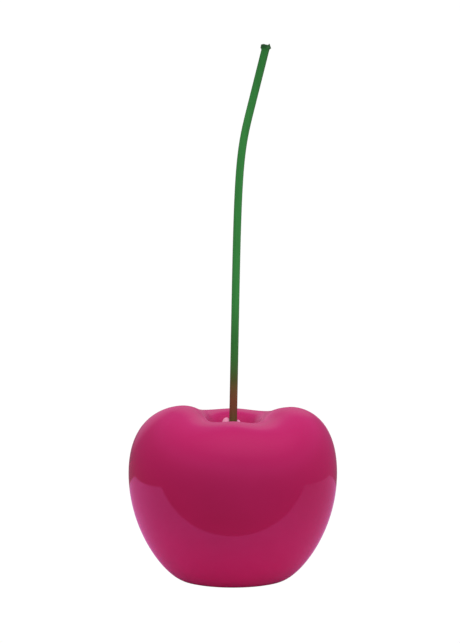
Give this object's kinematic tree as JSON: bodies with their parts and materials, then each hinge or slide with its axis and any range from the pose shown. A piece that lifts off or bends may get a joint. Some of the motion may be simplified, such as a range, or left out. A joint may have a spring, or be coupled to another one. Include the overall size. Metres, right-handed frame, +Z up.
{
  "type": "decorative ceramic cherry",
  "caption": "Free-standing ornament shaped like a cherry: a glossy lobed body with a flat foot and a dimpled top, and a slim bent stem standing in the dimple.",
  "frame": {"origin": "middle of the flat foot, on the surface that the cherry stands on", "axes": "+Z up along the stem's lower part, -Y towards the viewer of the picture, +X to the side that the stem bends to"},
  "size_m": [0.12, 0.114, 0.3071],
  "materials": {
    "magenta_glaze": "high gloss",
    "green_paint": "satin",
    "pale_adhesive": "gloss"
  },
  "bodies": {
    "root": {"body": "magenta_glaze", "stem": "green_paint", "stem_bead": "pale_adhesive"}
  },
  "joints": []
}
